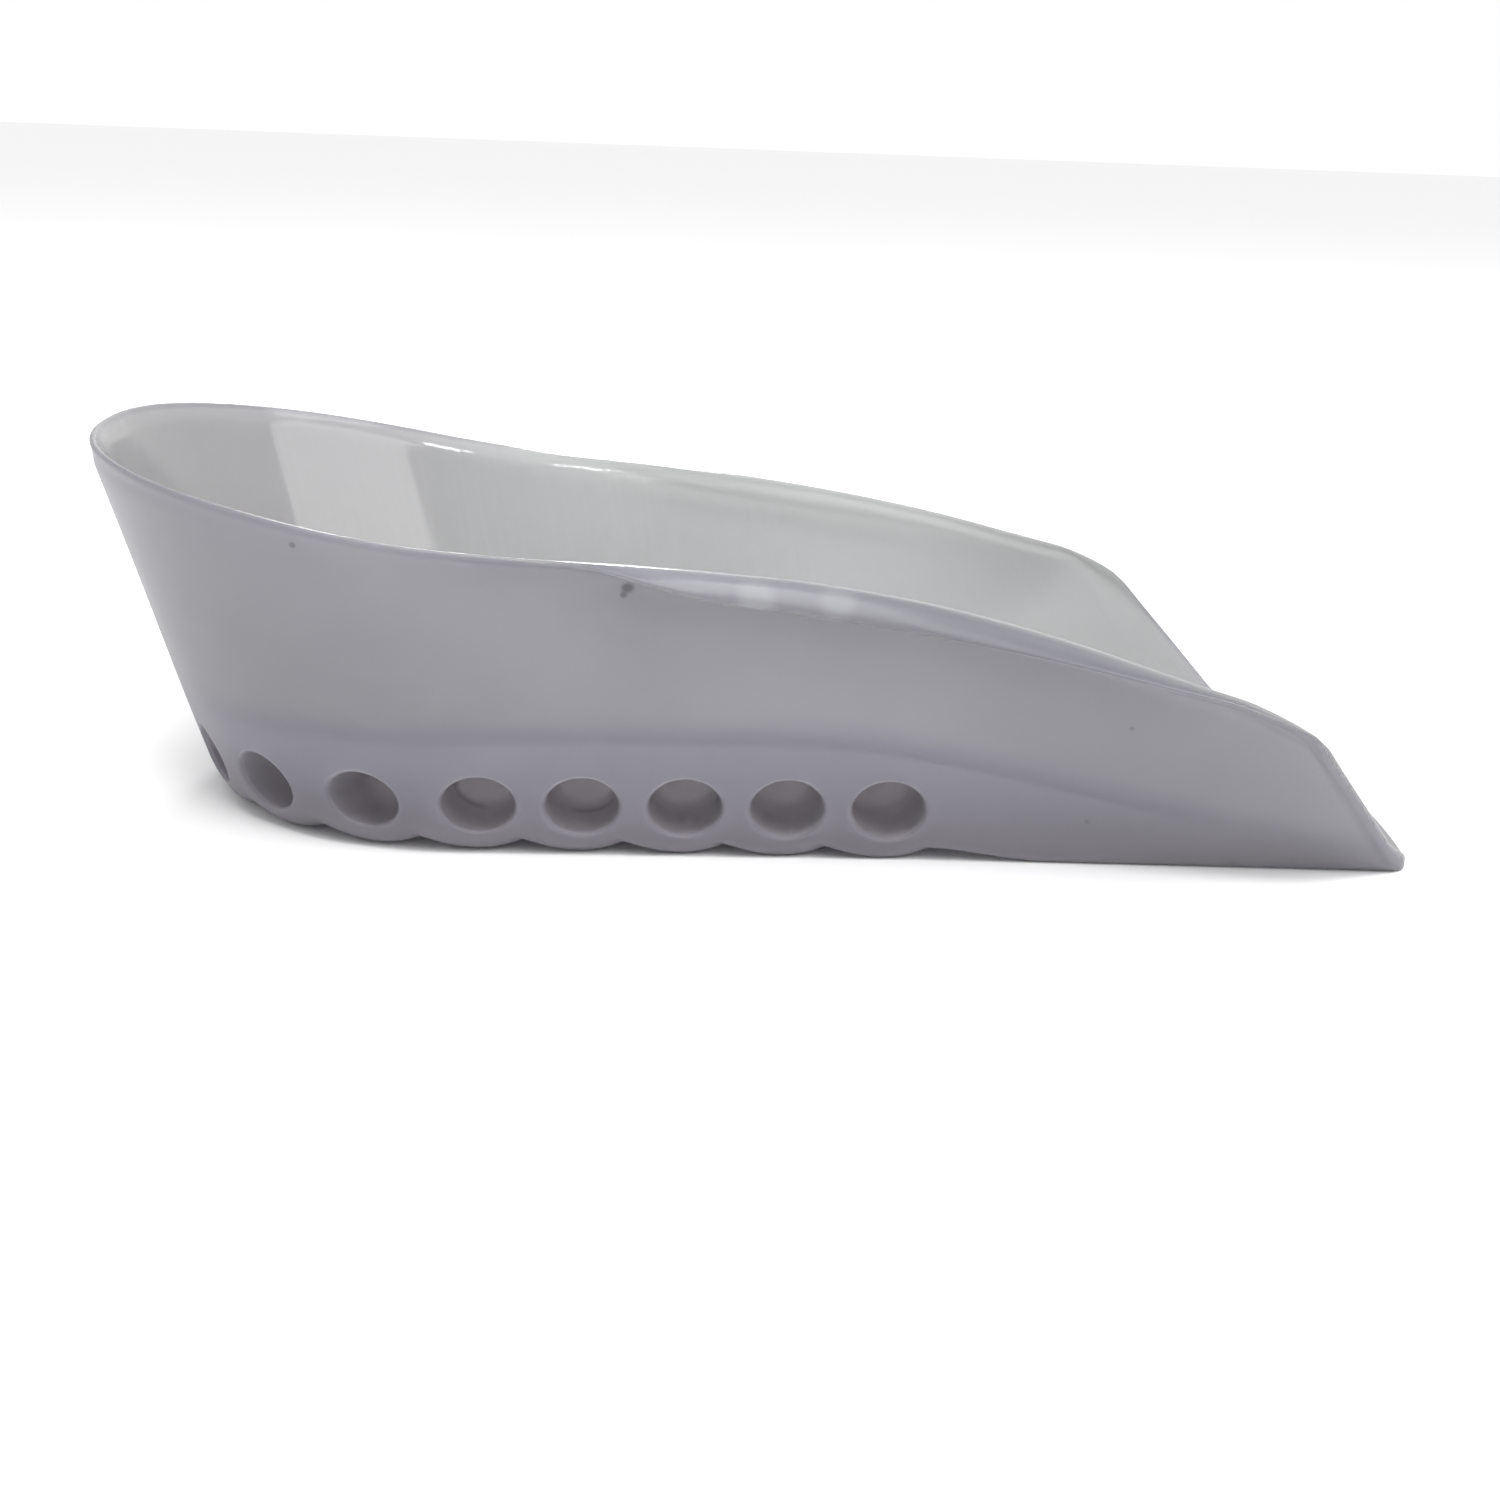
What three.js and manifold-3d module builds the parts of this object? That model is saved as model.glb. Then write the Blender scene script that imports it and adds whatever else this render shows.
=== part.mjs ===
// Silicone heel cup: one moulded piece that sits in a shoe and holds the heel of a foot.
// A thin flared wall runs round the heel and down both sides, and it is open at the front.
// Its sole is a wedge, thick under the heel and thin at the front edge.
// Air pockets are cored into the thick edge, and each one stands over a scallop of the underside.
//
// Millimetres, +Z up, +X from the heel towards the toes, Y across, the two sides alike.
// The origin is the middle of the cup's box, on the surface that it stands on.
import * as THREE from "three";
import { mergeVertices } from "three/addons/utils/BufferGeometryUtils.js";
import Module from "manifold-3d";

const wasm = await Module();
wasm.setup();

// Driving dimensions.
// Lengths along X start at the hindmost point of the rim.
const OVERALL_LENGTH = 111; // to the middle of the sole's front edge
const RIM_LENGTH = 95.4; // to the front top corner of each side
const RIM_HEIGHT = 31; // highest point of the rim, behind the heel
const HEEL_RIM_HALF_WIDTH = 31.7; // where the round heel ends
const RIM_FLARE = 3.7; // how much further out the front top corners stand
const HEEL_RIM_DEPTH = 26.8; // length of the round heel along X
const HEEL_RIM_SQUARENESS = 2.3; // 2 is an ellipse, more is squarer

const HEEL_OVERHANG = 12; // the rim's reach behind the sole
const SOLE_HEEL_RADIUS = 20.4; // plan radius of the flat sole round the heel
const SOLE_FRONT_HALF_WIDTH = 24.4; // at the sole's front corners
const FRONT_EDGE_BOW = 2; // how far the front edge stands ahead of its corners

const FLOOR_THICKNESS = 9.4; // solid silicone under the heel
const FRONT_THICKNESS = 1.1; // at the sole's front edge
const TAPER_START = 62; // where the sole begins to thin
const FLOOR_DISH = 0.8; // hollow of the floor under the middle of the heel
const DISH_BEHIND_EDGE = 0.7; // share of the dish that is left half way out to the wall
const FLOOR_FILLET = 5; // between floor and wall, inside
const WALL_FOOT_THICKNESS = 2.3;
const RIM_THICKNESS = 1.1;
const FRONT_CORNER_ROUNDING = 7; // length of the rim in which it turns down into the front edge
const FRONT_CORNER_CUT = 0.12; // share of the front edge that the rounding takes off

const CORNER_RUN = 2.3; // rounding between sole and wall, outside: outwards
const CORNER_RISE = 3.2; // and upwards
const FRONT_ROUNDING = 0.45; // share of the rounding and fillet that is left at the front edge
const FOOT_LEAN = 0.36; // least outward slope of the wall just above the rounding
const WALL_HANDLE = 0.4; // share of the wall's height in which it keeps its slope at each end

const LIP_LENGTH = 8.6; // band of wall below the rim that rolls outwards
const LIP_CURL = THREE.MathUtils.degToRad(145); // its turn where it rolls most
const LIP_EASE = 0.6; // under 1, the turn grows faster than the band
const PLAIN_LIP = 0.3; // share of the band where the rim is plain

const POCKETS_A_SIDE = 8; // and one more at the back of the heel
const POCKET_PITCH = 8.2; // along the edge of the sole
const POCKET_WIDTH = 5.9; // along the edge of the sole
const POCKET_HEIGHT = 5; // less than the width, so its mouth is oval
const POCKET_LEVEL = 4.5; // of its axis above the ground
const POCKET_DEPTH = 7.6; // from its mouth, which keeps the pockets round the heel apart
const POCKET_SIDES = 12;
const SCALLOP_RISE = 1.2; // height of the notches between the scallops
const SCALLOP_RUN = 13; // inwards, to where a notch has faded out
const SCALLOP_HALF_WAY = 0.75; // share of a notch's height that is left half way in
const SCALLOP_END_FADE = 9; // ahead of the last notch, along the sole's edge

// Steps of the mesh.
const STEPS_A_SCALLOP = 4;
const STEPS_AHEAD = 11;
const WALL_STEPS = 3;
const LIP_STEPS = 5;
const FILLET_STEPS = 3;
const STEP_CROWDING = 1.8; // over 1, the steps ahead of the pockets get shorter towards the corner
const HALVINGS = 20; // of the wall, to find where the fillet ends
const LEAST_ROLL = 1e-4; // a plain rim is a lip with this little turn
const NUDGE = 0.01; // step along the sole's edge that shows its direction
const WELD = 1e-4; // points closer than this are one

// The rim from the middle of the heel to the front corner.
// along: share of RIM_LENGTH. height: share of RIM_HEIGHT. roll: how far the lip is formed, 0 to 1.
// width: share of the half-width of a plain rim, which runs straight from HEEL_RIM_HALF_WIDTH
// to FRONT_RIM_HALF_WIDTH.
const RIM = [
  { along: 0.0, width: 1.0, height: 1.0, roll: 0.0 },
  { along: 0.14, width: 1.0, height: 0.923, roll: 0.0 },
  { along: 0.278, width: 1.0, height: 0.85, roll: 0.04 },
  { along: 0.38, width: 0.926, height: 0.816, roll: 0.26 },
  { along: 0.44, width: 0.892, height: 0.805, roll: 0.45 },
  { along: 0.49, width: 0.87, height: 0.795, roll: 0.7 },
  { along: 0.54, width: 0.845, height: 0.783, roll: 0.9 },
  { along: 0.6, width: 0.825, height: 0.766, roll: 0.97 },
  { along: 0.7, width: 0.824, height: 0.718, roll: 0.92 },
  { along: 0.8, width: 0.87, height: 0.648, roll: 0.7 },
  { along: 0.9, width: 0.94, height: 0.559, roll: 0.35 },
  { along: 1.0, width: 1.0, height: 0.474, roll: 0.0 },
];

// Places and lengths that follow. X counts from the rim's hindmost point.
const FRONT_RIM_HALF_WIDTH = HEEL_RIM_HALF_WIDTH + RIM_FLARE;
const SOLE_HEEL_CENTRE = HEEL_OVERHANG + SOLE_HEEL_RADIUS;
const SOLE_FRONT_CORNER = OVERALL_LENGTH - FRONT_EDGE_BOW;
const HEEL_QUARTER = (Math.PI / 2) * SOLE_HEEL_RADIUS; // sole's edge from the back to the side
const SOLE_EDGE_LENGTH = HEEL_QUARTER + SOLE_FRONT_CORNER - SOLE_HEEL_CENTRE;
const SCALLOPED_LENGTH = (POCKETS_A_SIDE + 0.5) * POCKET_PITCH;

const mix = THREE.MathUtils.lerp;
const smooth = THREE.MathUtils.smoothstep;
const clamp = THREE.MathUtils.clamp;
const flat = (x, y) => new THREE.Vector2(x, y);

// A column of the rim's table at a share of the rim's length, on a smooth curve through its rows.
function rimValue(column, along) {
  const last = RIM.length - 1;
  const after = RIM.findIndex((row) => row.along >= along);
  const next = after < 0 ? last : Math.max(1, after);
  const slope = (k) => {
    const a = RIM[Math.max(0, k - 1)];
    const b = RIM[Math.min(last, k + 1)];
    return (b[column] - a[column]) / (b.along - a.along);
  };
  const a = RIM[next - 1];
  const b = RIM[next];
  const span = b.along - a.along;
  const t = clamp((along - a.along) / span, 0, 1);
  const eased = t * t * (3 - 2 * t);
  const out = t * (1 - t) ** 2 * span * slope(next - 1);
  const back = t * t * (1 - t) * span * slope(next);
  return mix(a[column], b[column], eased) + out - back;
}

// Share of the straight side that is passed at a length along the sole's edge. It is 0 round the heel.
function sideShare(edge) {
  return Math.max(0, edge - HEEL_QUARTER) / (SOLE_EDGE_LENGTH - HEEL_QUARTER);
}

// Plan point of the sole's edge at a length along it from the back of the heel.
function soleEdge(edge) {
  const turn = Math.min(edge, HEEL_QUARTER) / SOLE_HEEL_RADIUS;
  const share = sideShare(edge);
  const x = mix(SOLE_HEEL_CENTRE, SOLE_FRONT_CORNER, share) - SOLE_HEEL_RADIUS * Math.cos(turn);
  const y = mix(SOLE_HEEL_RADIUS, SOLE_FRONT_HALF_WIDTH, share) * Math.sin(turn);
  return flat(x, y);
}

// The rim outside that place: plan point of its crest, height and roll.
function rimCrest(edge) {
  const turn = Math.min(edge, HEEL_QUARTER) / SOLE_HEEL_RADIUS;
  const power = 2 / HEEL_RIM_SQUARENESS;
  const share = sideShare(edge);
  const x = mix(HEEL_RIM_DEPTH, RIM_LENGTH, share) - HEEL_RIM_DEPTH * Math.abs(Math.cos(turn)) ** power;
  const y = mix(HEEL_RIM_HALF_WIDTH, FRONT_RIM_HALF_WIDTH, share) * Math.sin(turn) ** power;
  const along = x / RIM_LENGTH;
  return {
    plan: flat(x, y * rimValue("width", along)),
    height: RIM_HEIGHT * rimValue("height", along),
    roll: clamp(rimValue("roll", along), 0, 1),
  };
}

// How thick the sole still is at a place along X: 1 under the heel, 0 at the front edge.
function bulk(x) {
  const t = clamp((x - TAPER_START) / (OVERALL_LENGTH - TAPER_START), 0, 1);
  return 1 - (t + smooth(t, 0, 1)) / 2;
}

// Height of the underside at a length along the sole's edge: 0 under each pocket, and a notch between.
function scallopRise(edge) {
  const phase = (edge / POCKET_PITCH + 0.5) % 1;
  if (edge < SCALLOPED_LENGTH) return SCALLOP_RISE * (2 * phase - 1) ** 2;
  return SCALLOP_RISE * (1 - smooth(edge, SCALLOPED_LENGTH, SCALLOPED_LENGTH + SCALLOP_END_FADE));
}

// Middle line of the rolled lip up to the rim's edge, placed so that its highest point is the crest.
// lean is the wall's angle from upright where the lip starts.
function lipLine(crest, lean, roll) {
  const curl = LIP_CURL * Math.max(roll, LEAST_ROLL) ** LIP_EASE;
  const radius = (LIP_LENGTH * mix(PLAIN_LIP, 1, roll)) / curl;
  const arc = (turn) =>
    flat(Math.cos(lean) - Math.cos(turn), Math.sin(turn) - Math.sin(lean)).multiplyScalar(radius);
  const top = arc(Math.min(lean + curl, Math.PI / 2));
  return Array.from({ length: LIP_STEPS + 1 }, (_, k) => {
    const turn = lean + (curl * k) / LIP_STEPS;
    return { at: arc(turn).add(crest).sub(top), lean: turn };
  });
}

// Quadratic curve from one point to another, drawn towards a third.
function bend(from, towards, to, t) {
  return from.clone().lerp(towards, t).lerp(towards.clone().lerp(to, t), t);
}

// Outer and inner skin of one section, from the cup's middle line out to the rim's edge, with as
// many points on each. A point is its distance outside the sole's edge and its height.
function skins(edge) {
  const sole = soleEdge(edge);
  const { plan, height: fullHeight, roll } = rimCrest(edge);
  const nearFront = clamp(1 - (SOLE_EDGE_LENGTH - edge) / FRONT_CORNER_ROUNDING, 0, 1);
  const cut = 1 - FRONT_CORNER_CUT * (1 - Math.sqrt(1 - nearFront ** 2));
  const reach = plan.distanceTo(sole) * cut;
  const height = fullHeight * cut;
  const halfSole = sole.distanceTo(spine(edge));
  const thick = bulk(sole.x);
  const rounding = mix(FRONT_ROUNDING, 1, thick);
  const floor = mix(FRONT_THICKNESS, FLOOR_THICKNESS, thick);
  const footThickness = mix(RIM_THICKNESS, WALL_FOOT_THICKNESS, thick);

  // The wall outside leaves the rounding with the moulding's draft and meets the lip smoothly.
  const run = CORNER_RUN * rounding;
  const rise = CORNER_RISE * rounding;
  const straight = (reach - run) / height;
  const draft = Math.max(FOOT_LEAN, straight);
  const foot = flat(run + draft * rise, rise);
  const halfRim = RIM_THICKNESS / 2;
  const crest = flat(reach - halfRim, height - halfRim * roll);
  const lip = lipLine(crest, Math.atan(straight) * (1 - roll), roll);
  const side = (point, distance) =>
    point.at.clone().add(flat(Math.cos(point.lean), -Math.sin(point.lean)).multiplyScalar(distance));
  const top = side(lip[0], halfRim);
  const handle = (top.y - foot.y) * WALL_HANDLE;
  const wall = new THREE.CubicBezierCurve(
    foot,
    flat(foot.x + draft * handle, foot.y + handle),
    flat(top.x - Math.sin(lip[0].lean) * handle, top.y - Math.cos(lip[0].lean) * handle),
    top,
  );
  const inside = (t) => {
    const tangent = wall.getTangent(t);
    const thickness = mix(footThickness, RIM_THICKNESS, smooth(t, 0, 1));
    return wall.getPoint(t).add(flat(-tangent.y, tangent.x).multiplyScalar(thickness));
  };

  // The wall inside starts where the fillet of the floor ends.
  const filletHeight = FLOOR_FILLET * rounding;
  let low = 0;
  let high = 1;
  for (let k = 0; k < HALVINGS; k++) {
    const middle = (low + high) / 2;
    if (inside(middle).y < floor + filletHeight) low = middle;
    else high = middle;
  }
  const filletTop = inside(low);
  const tangent = wall.getTangent(low);
  const filletCorner = flat(filletTop.x - (tangent.x / tangent.y) * (filletTop.y - floor), floor);
  const floorEdge = flat(filletCorner.x - filletHeight, floor);

  const notch = scallopRise(edge);
  const outer = [
    flat(-halfSole, 0),
    flat(-SCALLOP_RUN, 0),
    flat(-SCALLOP_RUN / 2, notch * SCALLOP_HALF_WAY),
    flat(0, notch),
    bend(flat(0, notch), flat(run, notch / 2), foot, 0.5),
    foot,
  ];
  const inner = [
    flat(-halfSole, floor - FLOOR_DISH * thick),
    flat((floorEdge.x - halfSole) / 2, floor - FLOOR_DISH * thick * DISH_BEHIND_EDGE),
  ];
  for (let k = 0; k <= FILLET_STEPS; k++)
    inner.push(bend(floorEdge, filletCorner, filletTop, k / FILLET_STEPS));
  for (let k = 1; k < WALL_STEPS; k++) {
    outer.push(wall.getPoint(k / WALL_STEPS));
    inner.push(inside(mix(low, 1, k / WALL_STEPS)));
  }
  for (const point of lip) {
    outer.push(side(point, halfRim));
    inner.push(side(point, -halfRim));
  }
  return { outer, inner };
}

// Plan point on the cup's middle line that a section starts from.
function spine(edge) {
  return flat(mix(SOLE_HEEL_CENTRE, OVERALL_LENGTH, sideShare(edge)), 0);
}

// Point in space of a section's point. Inside the sole's edge the line from the middle is bowed,
// so that the foremost section follows the round front edge.
function place(edge, point, hand) {
  const sole = soleEdge(edge);
  const start = spine(edge);
  if (point.x < 0) {
    const share = 1 + point.x / sole.distanceTo(start);
    return new THREE.Vector3(mix(start.x, sole.x, share ** 2), hand * sole.y * share, point.y);
  }
  const outwards = rimCrest(edge).plan.sub(sole).normalize();
  const plan = sole.addScaledVector(outwards, point.x);
  return new THREE.Vector3(plan.x, hand * plan.y, point.y);
}

// Closed mesh of the cup without its pockets: both skins, the rim's edge and the front edge.
function cupGeometry() {
  const edges = [];
  const scallopSteps = (POCKETS_A_SIDE + 0.5) * STEPS_A_SCALLOP;
  for (let k = 0; k <= scallopSteps; k++) edges.push((SCALLOPED_LENGTH * k) / scallopSteps);
  for (let k = STEPS_AHEAD - 1; k >= 0; k--)
    edges.push(mix(SOLE_EDGE_LENGTH, SCALLOPED_LENGTH, (k / STEPS_AHEAD) ** STEP_CROWDING));
  const stations = [
    ...edges.toReversed().map((edge) => ({ edge, hand: 1 })),
    ...edges.slice(1).map((edge) => ({ edge, hand: -1 })),
  ];
  const rings = stations.map(({ edge, hand }) => {
    const { outer, inner } = skins(edge);
    return [...outer, ...inner.toReversed()].map((point) => place(edge, point, hand));
  });
  const count = rings[0].length;
  const positions = rings.flat().flatMap((point) => point.toArray());
  const index = [];
  for (let i = 0; i + 1 < rings.length; i++)
    for (let j = 0; j + 1 < count; j++) {
      const a = i * count + j;
      const b = a + count;
      index.push(a, b, a + 1, b, b + 1, a + 1);
    }
  const last = (rings.length - 1) * count;
  for (let j = 0; j < count / 2 - 1; j++) {
    const k = count - 1 - j;
    index.push(j, j + 1, k, j + 1, k - 1, k);
    index.push(last + j, last + k, last + j + 1, last + j + 1, last + k, last + k - 1);
  }
  const geometry = new THREE.BufferGeometry();
  geometry.setAttribute("position", new THREE.Float32BufferAttribute(positions, 3));
  geometry.setIndex(index);
  return geometry;
}

// Core that leaves one pocket, level and square to the sole's edge.
function pocketGeometry(number, hand) {
  const edge = number * POCKET_PITCH;
  const sole = soleEdge(edge);
  const along = soleEdge(edge + NUDGE).sub(sole).normalize();
  const outwards = new THREE.Vector3(-along.y, along.x, 0);
  const mouth = CORNER_RUN + FOOT_LEAN * POCKET_LEVEL; // the wall's place at the level of the axis
  const length = POCKET_DEPTH + POCKET_HEIGHT;
  const centre = new THREE.Vector3(sole.x, sole.y, POCKET_LEVEL);
  centre.addScaledVector(outwards, mouth - POCKET_DEPTH + length / 2);
  const radius = POCKET_WIDTH / 2;
  const core = new THREE.CylinderGeometry(radius, radius, length, POCKET_SIDES);
  core.scale(1, 1, POCKET_HEIGHT / POCKET_WIDTH);
  core.applyQuaternion(new THREE.Quaternion().setFromUnitVectors(new THREE.Vector3(0, 1, 0), outwards));
  core.translate(centre.x, centre.y, centre.z);
  if (hand > 0) return core;
  return core.rotateX(Math.PI).translate(0, 0, 2 * POCKET_LEVEL);
}

// A closed geometry as a solid that can be joined and cut.
function toSolid(geometry) {
  const bare = geometry.clone();
  bare.deleteAttribute("normal");
  bare.deleteAttribute("uv");
  const merged = mergeVertices(bare, WELD);
  const corners = merged.index.array;
  const triVerts = [];
  for (let k = 0; k < corners.length; k += 3) {
    const [a, b, c] = corners.slice(k, k + 3);
    if (a !== b && b !== c && c !== a) triVerts.push(a, b, c);
  }
  const vertProperties = merged.attributes.position.array;
  const mesh = new wasm.Mesh({ numProp: 3, vertProperties, triVerts: new Uint32Array(triVerts) });
  return new wasm.Manifold(mesh);
}

// A solid as a geometry, with the origin in the middle of its box along X.
function toGeometry(solid) {
  const { vertProperties, triVerts } = solid.getMesh();
  const geometry = new THREE.BufferGeometry();
  geometry.setAttribute("position", new THREE.BufferAttribute(vertProperties, 3));
  geometry.setIndex(new THREE.BufferAttribute(triVerts, 1));
  geometry.computeBoundingBox();
  const { min, max } = geometry.boundingBox;
  geometry.translate(-(min.x + max.x) / 2, 0, 0);
  geometry.computeVertexNormals();
  return geometry;
}

function heelCup() {
  let solid = toSolid(cupGeometry());
  for (let number = -POCKETS_A_SIDE; number <= POCKETS_A_SIDE; number++)
    solid = solid.subtract(toSolid(pocketGeometry(Math.abs(number), number < 0 ? -1 : 1)));
  const silicone = new THREE.MeshStandardMaterial({ color: 0xa9a9ae, roughness: 0.35, metalness: 0 });
  const mesh = new THREE.Mesh(toGeometry(solid), silicone);
  mesh.name = "heel_cup";
  return mesh;
}

const part = new THREE.Group();
part.add(heelCup());

export default part;
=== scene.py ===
# %% [markdown]
# # A silicone heel cup
#
# A heel cup is one soft moulding that sits in the back of a shoe. A thin flared wall holds the
# heel, and a thick sole cushions it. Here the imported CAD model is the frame: it says where the
# cup is and how big. A finer cup is modelled around it, given its silicone, and lit as in a studio.

# %% Load the frame
import functools
import math

import bpy
from mathutils import Matrix, Vector


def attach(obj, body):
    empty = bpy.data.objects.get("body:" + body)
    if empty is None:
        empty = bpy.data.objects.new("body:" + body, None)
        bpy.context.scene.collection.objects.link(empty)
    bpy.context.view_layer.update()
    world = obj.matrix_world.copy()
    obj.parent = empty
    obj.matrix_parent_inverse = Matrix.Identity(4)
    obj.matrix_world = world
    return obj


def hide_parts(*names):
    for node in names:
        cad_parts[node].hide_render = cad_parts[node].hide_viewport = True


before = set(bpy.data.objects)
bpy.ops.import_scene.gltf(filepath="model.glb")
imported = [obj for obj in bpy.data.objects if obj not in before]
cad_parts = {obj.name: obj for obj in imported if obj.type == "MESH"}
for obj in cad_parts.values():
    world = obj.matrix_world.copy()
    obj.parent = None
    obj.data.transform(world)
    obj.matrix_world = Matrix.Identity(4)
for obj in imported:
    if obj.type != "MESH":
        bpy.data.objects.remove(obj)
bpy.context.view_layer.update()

MM = 0.001
print("the frame holds", len(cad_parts), "node")

# %% [markdown]
# ## The camera
#
# The cup was photographed from close by, so the heel end, which is nearer, looks large. A lens
# fitted to a close camera gives that perspective. A long lens from far away would flatten it. The
# camera looks from the cup's side, a little down, and is turned slightly about its own axis.

# %% Set up the camera
CAMERA_PLACE = Vector((-15.7, -192.05, 56.0)) * MM
CAMERA_HEADING = math.radians(4.98)  # from +Y towards +X
CAMERA_DIP = math.radians(15.44)
CAMERA_ROLL = math.radians(2.13)
LENS = 52.9  # mm
SENSOR_WIDTH = 36  # mm
NEAREST_SEEN = 10  # mm, well in front of the cup

bpy.ops.object.select_all(action="DESELECT")
bpy.ops.object.camera_add()
camera = bpy.context.object
camera.name = "camera"
camera.data.lens = LENS
camera.data.sensor_width = SENSOR_WIDTH
camera.data.clip_start = NEAREST_SEEN * MM

side = Vector((math.cos(CAMERA_HEADING), -math.sin(CAMERA_HEADING), 0))
level = Vector((math.sin(CAMERA_HEADING), math.cos(CAMERA_HEADING), 0))
gaze = level * math.cos(CAMERA_DIP) - Vector((0, 0, 1)) * math.sin(CAMERA_DIP)
up = side.cross(gaze)
turned_side = side * math.cos(CAMERA_ROLL) + up * math.sin(CAMERA_ROLL)
turned_up = up * math.cos(CAMERA_ROLL) - side * math.sin(CAMERA_ROLL)
turn = Matrix((turned_side, turned_up, -gaze)).transposed()
camera.matrix_world = Matrix.Translation(CAMERA_PLACE) @ turn.to_4x4()
bpy.context.scene.camera = camera
print("the camera looks along", [round(v, 3) for v in gaze])

# %% [markdown]
# ## The cup's shape
#
# The real cup is moulded between two steel halves, so it has an outer skin and an inner one, and
# both are smooth. It could be sculpted, but then the two skins would wander. It could be a
# subdivided cage, but the rolled lip and the scallops need exact places. So one flat grid is bent
# into the cup: each row of the grid becomes one section, from the middle of the sole's underside
# out and up the wall, over the rim, and down inside to the middle of the floor.
#
# The values are those of the CAD model, in millimetres. X starts at the hindmost point of the rim.

# %% Sizes of the cup
OVERALL_LENGTH = 111  # to the middle of the sole's front edge
RIM_LENGTH = 95.4  # to the front top corner of each side
RIM_HEIGHT = 31  # highest point of the rim, behind the heel
HEEL_RIM_HALF_WIDTH = 31.7  # where the round heel ends
RIM_FLARE = 3.7  # how much further out the front top corners stand
HEEL_RIM_DEPTH = 26.8  # length of the round heel along X
HEEL_RIM_SQUARENESS = 2.3  # 2 is an ellipse, more is squarer
HEEL_OVERHANG = 12  # the rim's reach behind the sole
SOLE_HEEL_RADIUS = 20.4  # of the sole's edge round the heel, seen from above
SOLE_FRONT_HALF_WIDTH = 24.4  # at the sole's front corners
FRONT_EDGE_BOW = 2  # how far the front edge stands ahead of its corners

FLOOR_THICKNESS = 9.4  # solid silicone under the heel
FRONT_THICKNESS = 1.1  # at the sole's front edge
TAPER_START = 62  # where the sole begins to thin
FLOOR_DISH = 0.8  # hollow of the floor under the middle of the heel
FLOOR_FILLET = 5  # between floor and wall, inside
WALL_FOOT_THICKNESS = 2.3
RIM_THICKNESS = 1.1
FRONT_CORNER_ROUNDING = 7  # length of the rim in which it turns down into the front edge
FRONT_CORNER_CUT = 0.12  # share of the front edge that the rounding takes off

CORNER_RUN = 2.3  # rounding between sole and wall, outside: outwards
CORNER_RISE = 3.2  # and upwards
FRONT_ROUNDING = 0.45  # share of the rounding and fillet that is left at the front edge
FOOT_LEAN = 0.36  # least outward slope of the wall just above the rounding
WALL_HANDLE = 0.4  # share of the wall's height in which it keeps its slope at each end

LIP_LENGTH = 8.6  # band of wall below the rim that rolls outwards
LIP_CURL = math.radians(145)  # its turn where it rolls most
LIP_EASE = 0.6  # under 1, the turn grows faster than the band
PLAIN_LIP = 0.3  # share of the band where the rim is plain
LEAST_ROLL = 0.0001  # a plain rim is a lip with this little turn

POCKETS_A_SIDE = 8  # and one more at the back of the heel
POCKET_PITCH = 8.2  # along the edge of the sole
POCKET_WIDTH = 5.9  # along the edge of the sole
POCKET_HEIGHT = 5  # less than the width, so its mouth is oval
POCKET_LEVEL = 4.5  # of its axis above the ground
POCKET_DEPTH = 7.6  # from its mouth
SCALLOP_RISE = 1.2  # height of the notches between the scallops
SCALLOP_RUN = 13  # inwards, to where a notch has faded out
SCALLOP_END_FADE = 9  # ahead of the last notch, along the sole's edge

# The rim: share of its length, of its plain width and of its height, and how far it is rolled.
RIM = [
    (0.0, 1.0, 1.0, 0.0),
    (0.14, 1.0, 0.923, 0.0),
    (0.278, 1.0, 0.85, 0.04),
    (0.38, 0.926, 0.816, 0.26),
    (0.44, 0.892, 0.805, 0.45),
    (0.49, 0.87, 0.795, 0.7),
    (0.54, 0.845, 0.783, 0.9),
    (0.6, 0.825, 0.766, 0.97),
    (0.7, 0.824, 0.718, 0.92),
    (0.8, 0.87, 0.648, 0.7),
    (0.9, 0.94, 0.559, 0.35),
    (1.0, 1.0, 0.474, 0.0),
]
WIDTH, HEIGHT, ROLL = 1, 2, 3

FRONT_RIM_HALF_WIDTH = HEEL_RIM_HALF_WIDTH + RIM_FLARE
SOLE_HEEL_CENTRE = HEEL_OVERHANG + SOLE_HEEL_RADIUS
SOLE_FRONT_CORNER = OVERALL_LENGTH - FRONT_EDGE_BOW
HEEL_QUARTER = math.pi / 2 * SOLE_HEEL_RADIUS
EDGE_LENGTH = HEEL_QUARTER + SOLE_FRONT_CORNER - SOLE_HEEL_CENTRE
SCALLOPED_LENGTH = (POCKETS_A_SIDE + 0.5) * POCKET_PITCH
MIDDLE = OVERALL_LENGTH / 2
HALF_RIM = RIM_THICKNESS / 2
print("the sole's edge is", round(EDGE_LENGTH, 1), "mm long on each side")

# %% [markdown]
# A moulding changes gently from one place to the next, never with a kink. Three small helpers do
# that here: one mixes two values, one keeps a value between two ends, and one eases in and out.


# %% Small helpers for numbers
def mix(a, b, t):
    return a + (b - a) * t


def clamp(value, low=0.0, high=1.0):
    return max(low, min(high, value))


def smooth(value, low, high):
    t = clamp((value - low) / (high - low))
    return t * t * (3 - 2 * t)


print("half way on a smooth step:", smooth(0.5, 0, 1))

# %% [markdown]
# The rim rises at the heel, sinks towards the front and is pinched in the middle of its length.
# A smooth curve through the rows of its table gives every place between them.


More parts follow.
